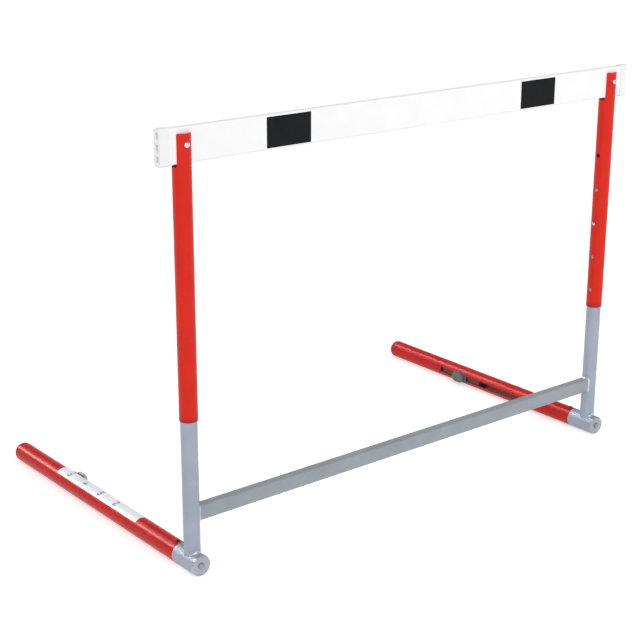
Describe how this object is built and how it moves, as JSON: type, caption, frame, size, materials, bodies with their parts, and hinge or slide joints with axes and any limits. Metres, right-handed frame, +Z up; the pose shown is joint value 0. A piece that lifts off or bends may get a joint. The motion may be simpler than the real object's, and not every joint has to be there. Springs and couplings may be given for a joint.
{
  "type": "track hurdle",
  "caption": "Height-adjustable track hurdle: hollow crossbar on telescoping uprights, cross brace, and slotted feet with sliding counterweights.",
  "frame": {"origin": "on the ground at the middle of the hurdle's footprint", "axes": "+X along the crossbar, +Y from the uprights towards the ends of the feet, +Z up"},
  "size_m": [1.195, 0.7038, 0.8395],
  "materials": {
    "upright_red": "gloss red powder coat",
    "foot_red": "gloss red powder coat",
    "grey_paint": "satin silver-grey paint",
    "white_plastic": "satin white extrusion",
    "black_film": "matt black band",
    "zinc_steel": "bright zinc plate",
    "spring_steel": "oiled spring steel",
    "cast_iron": "turned bar, dark",
    "grey_plastic": "moulded grey nylon"
  },
  "bodies": {
    "base": {"left_base_stub": "grey_paint", "left_front_disc": "grey_paint", "left_anchor_plate": "zinc_steel", "left_front_bolt": "zinc_steel", "left_spigot": "zinc_steel", "left_foot_screw": "spring_steel", "left_foot_tube": "foot_red", "left_foot_dome": "foot_red", "left_post": "grey_paint", "left_post_weld": "grey_paint", "left_brace_weld": "grey_paint", "left_snap_spring": "spring_steel", "right_base_stub": "grey_paint", "right_front_disc": "grey_paint", "right_anchor_plate": "zinc_steel", "right_front_bolt": "zinc_steel", "right_spigot": "zinc_steel", "right_foot_screw": "spring_steel", "right_foot_tube": "foot_red", "right_foot_dome": "foot_red", "right_post": "grey_paint", "right_post_weld": "grey_paint", "right_brace_weld": "grey_paint", "right_snap_spring": "spring_steel", "cross_brace": "grey_paint"},
    "top_frame": {"left_upper_tube": "upright_red", "left_board_bolt": "zinc_steel", "left_board_washer": "zinc_steel", "left_board_nut": "zinc_steel", "left_end_cap": "white_plastic", "left_band": "black_film", "right_upper_tube": "upright_red", "right_board_bolt": "zinc_steel", "right_board_washer": "zinc_steel", "right_board_nut": "zinc_steel", "right_end_cap": "white_plastic", "right_band": "black_film", "crossbar_board": "white_plastic"},
    "left_button": {"left_snap_button": "zinc_steel"},
    "left_weight": {"left_counterweight": "cast_iron", "left_clamp_shoe": "grey_plastic"},
    "left_knob": {"left_clamp_knob": "zinc_steel", "left_clamp_stud": "zinc_steel"},
    "right_button": {"right_snap_button": "zinc_steel"},
    "right_weight": {"right_counterweight": "cast_iron", "right_clamp_shoe": "grey_plastic"},
    "right_knob": {"right_clamp_knob": "zinc_steel", "right_clamp_stud": "zinc_steel"}
  },
  "joints": [
    {"name": "height_slide", "type": "slide", "parent": "base", "child": "top_frame", "axis": [0, 0, 1], "range_m": [-0.1524, 0.1524], "deforming": ["left_snap_button", "right_snap_button"]},
    {"name": "left_button_press", "type": "slide", "parent": "base", "child": "left_button", "axis": [-1, 0, 0], "range_m": [0, 0.0041], "stiffness_N_per_m": 900, "springref_m": -0.002, "deforming": ["left_snap_spring"]},
    {"name": "left_weight_slide", "type": "slide", "parent": "base", "child": "left_weight", "axis": [0, 1, 0], "range_m": [-0.2585, 0.0045]},
    {"name": "left_knob_turn", "type": "hinge", "parent": "left_weight", "child": "left_knob", "pos_m": [-0.5485, 0.13425, 0.02052], "axis": [1, 0, 0], "range_deg": [0, 360]},
    {"name": "right_button_press", "type": "slide", "parent": "base", "child": "right_button", "axis": [1, 0, 0], "range_m": [0, 0.0041], "stiffness_N_per_m": 900, "springref_m": -0.002, "deforming": ["right_snap_spring"]},
    {"name": "right_weight_slide", "type": "slide", "parent": "base", "child": "right_weight", "axis": [0, 1, 0], "range_m": [-0.2045, 0.0585]},
    {"name": "right_knob_turn", "type": "hinge", "parent": "right_weight", "child": "right_knob", "pos_m": [0.5485, 0.08025, 0.02052], "axis": [-1, 0, 0], "range_deg": [0, 360]}
  ]
}
